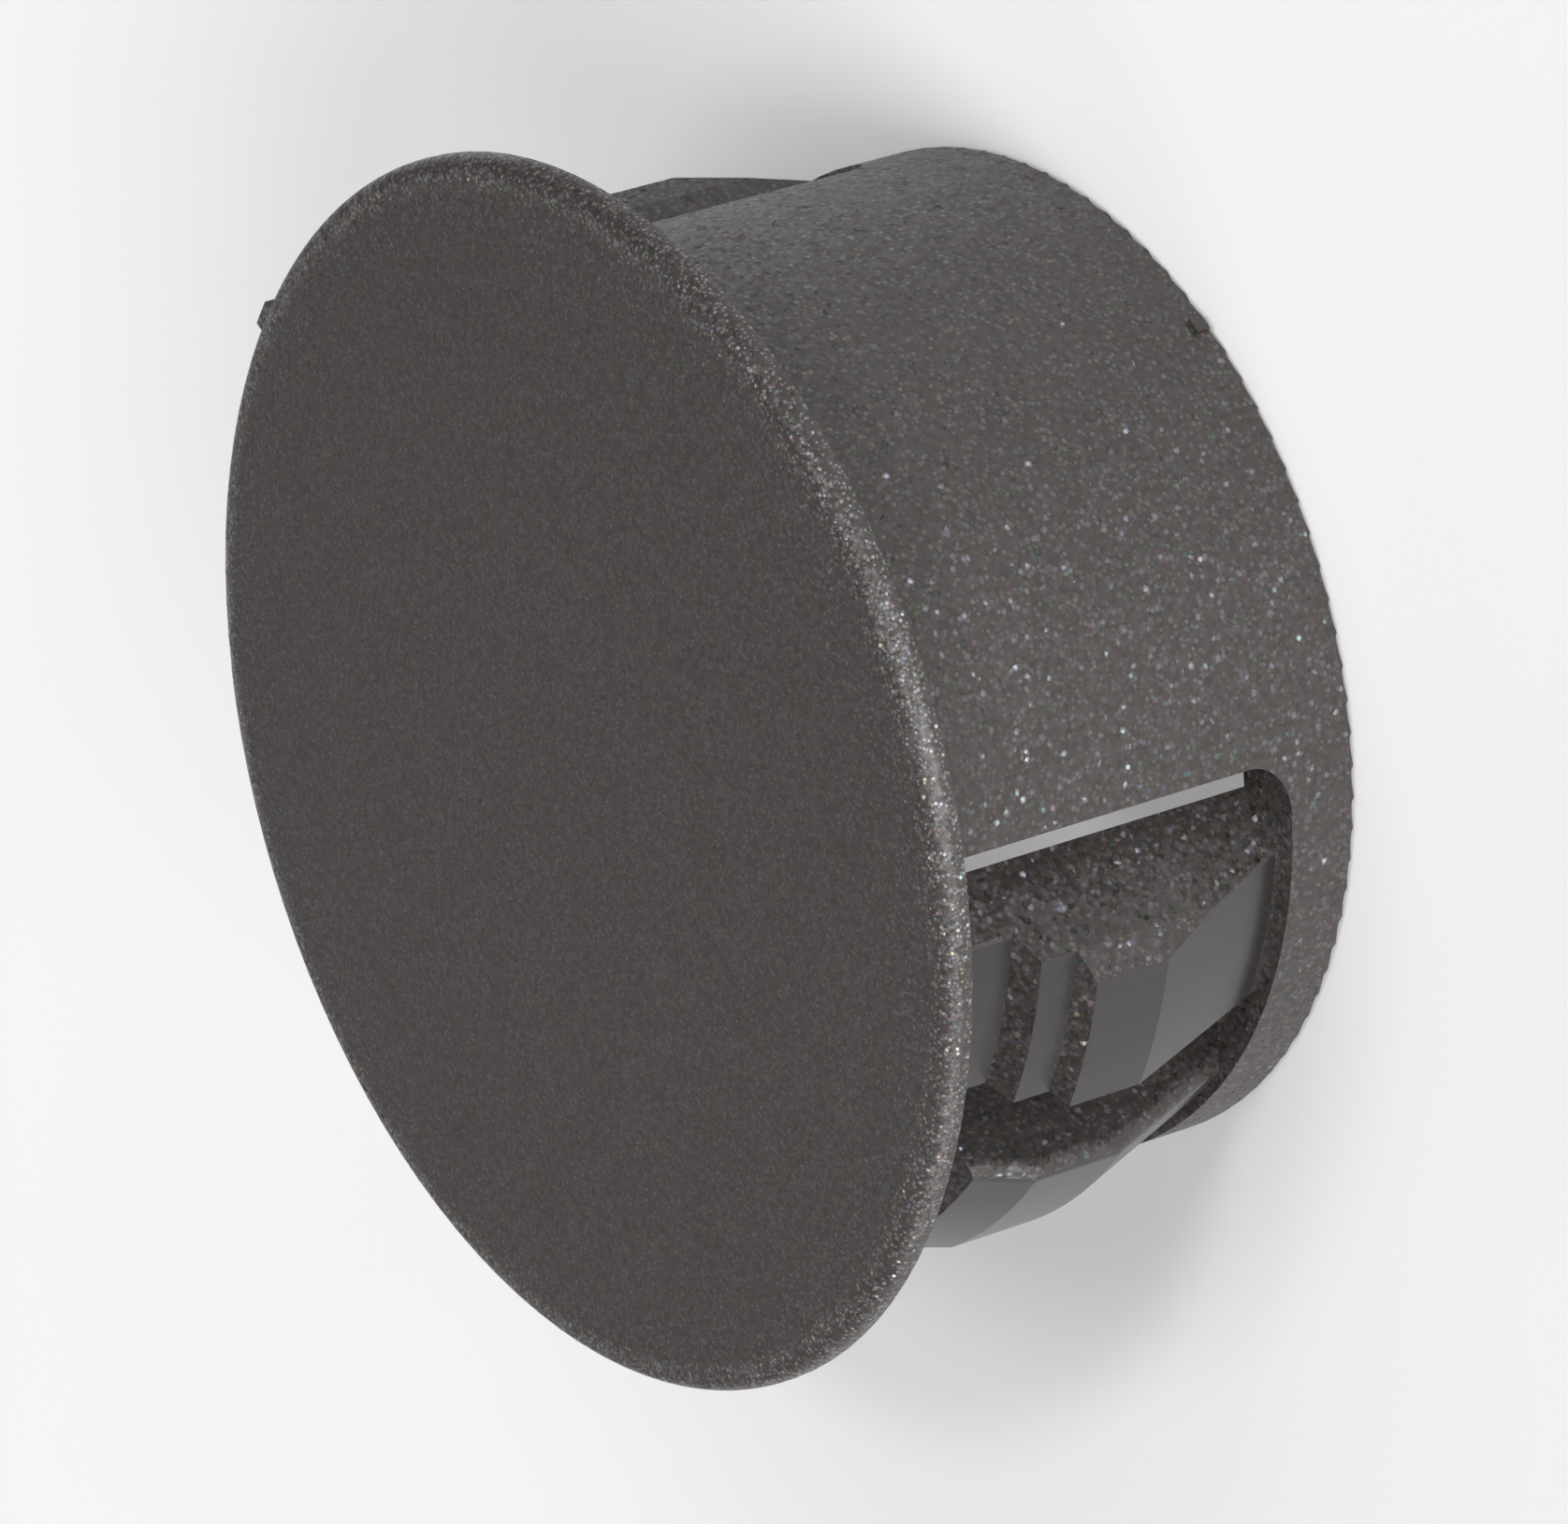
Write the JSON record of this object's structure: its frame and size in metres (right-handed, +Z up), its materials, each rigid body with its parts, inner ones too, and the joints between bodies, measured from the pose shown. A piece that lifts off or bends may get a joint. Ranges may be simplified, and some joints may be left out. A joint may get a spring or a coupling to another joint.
{
  "type": "blanking plug",
  "caption": "Snap-in blanking plug: a round, low-crowned head on a hollow skirt, with stepped spring fingers in side windows that grip the edge of a panel hole.",
  "frame": {"origin": "centre of the open end, where the plug stands", "axes": "+Z up the axis from the open end to the head, +X towards the parting line midway between the windows, one window facing -Y and the other +Y"},
  "size_m": [0.0228, 0.023, 0.0109],
  "materials": {
    "plug_plastic": "fine spark-eroded texture"
  },
  "bodies": {
    "root": {"plug": "plug_plastic"}
  },
  "joints": []
}
